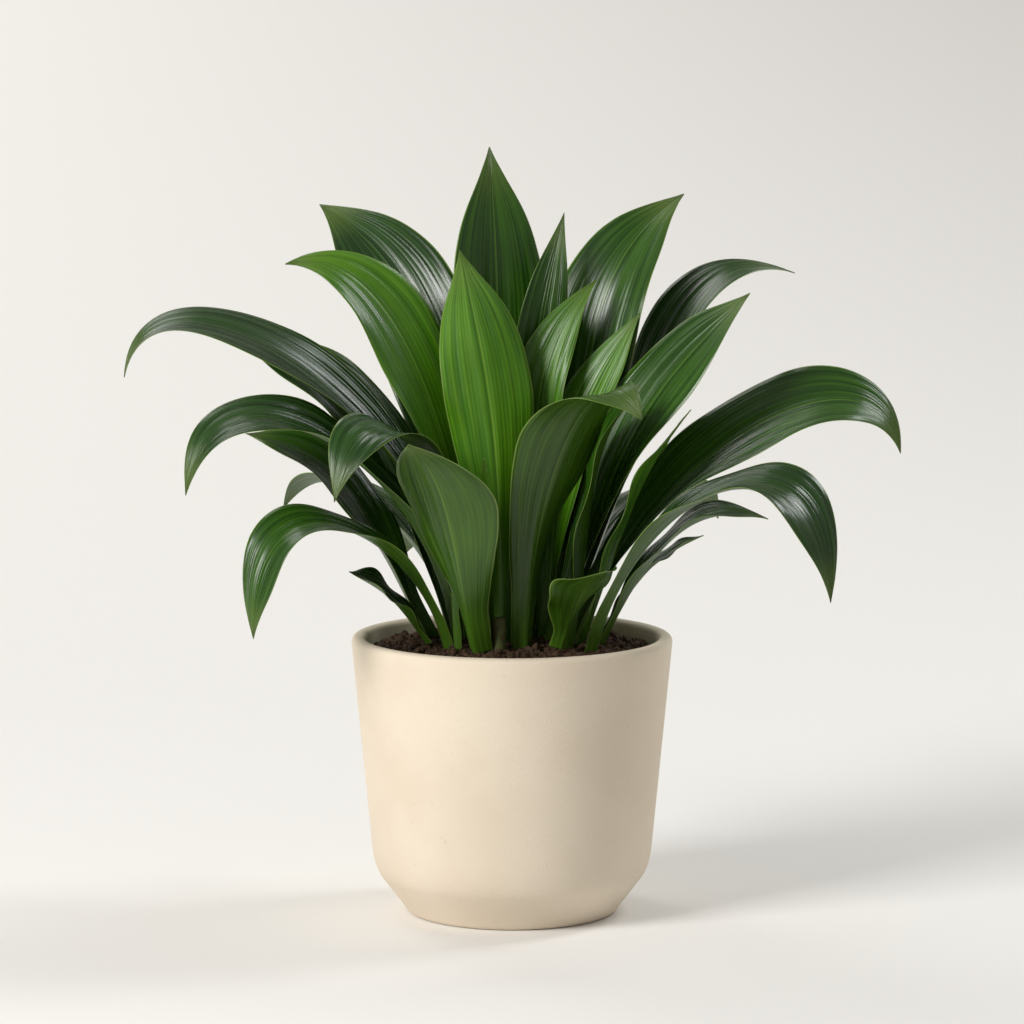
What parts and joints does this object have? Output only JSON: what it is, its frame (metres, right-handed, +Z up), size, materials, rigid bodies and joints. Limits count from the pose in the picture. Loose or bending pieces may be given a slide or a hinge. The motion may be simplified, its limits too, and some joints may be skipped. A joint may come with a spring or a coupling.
{
  "type": "potted dracaena",
  "caption": "Bushy houseplant with broad, pointed, arching green leaves on short canes, standing in soil in a plain round cream ceramic pot with a rounded rim.",
  "frame": {"origin": "centre of the pot's flat underside", "axes": "+Z up, -Y towards the front of the plant, +X to the right seen from the front"},
  "size_m": [0.4809, 0.304, 0.4752],
  "materials": {
    "pot": "matte",
    "soil": "rough",
    "cane": "rough",
    "leaf": "satin"
  },
  "bodies": {
    "root": {"pot": "pot", "soil": "soil", "cane_centre": "cane", "cane_front": "cane", "cane_back": "cane", "leaf_left_crest": "leaf", "leaf_left_under_crest": "leaf", "leaf_left_arch": "leaf", "leaf_left_middle": "leaf", "leaf_left_droop": "leaf", "leaf_left_low": "leaf", "leaf_front_left_arch": "leaf", "leaf_front_left_small": "leaf", "leaf_front_broad": "leaf", "leaf_front_right_small": "leaf", "leaf_front_folded": "leaf", "leaf_front_spear": "leaf", "leaf_tallest": "leaf", "leaf_centre_bright": "leaf", "leaf_centre_young": "leaf", "leaf_centre_right_young": "leaf", "leaf_right_young": "leaf", "leaf_upper_left_bright": "leaf", "leaf_upper_left_broad": "leaf", "leaf_upper_right_broad": "leaf", "leaf_right_curled": "leaf", "leaf_right_glossy": "leaf", "leaf_right_front_olive": "leaf", "leaf_right_blade": "leaf", "leaf_right_arch": "leaf", "leaf_right_droop": "leaf", "leaf_right_low": "leaf", "leaf_right_stem": "leaf", "leaf_back_left_high": "leaf", "leaf_back_right_high": "leaf", "leaf_back_centre": "leaf", "leaf_back_left_arch": "leaf", "leaf_back_right_arch": "leaf", "leaf_back_left_low": "leaf", "leaf_back_right_low": "leaf"}
  },
  "joints": []
}
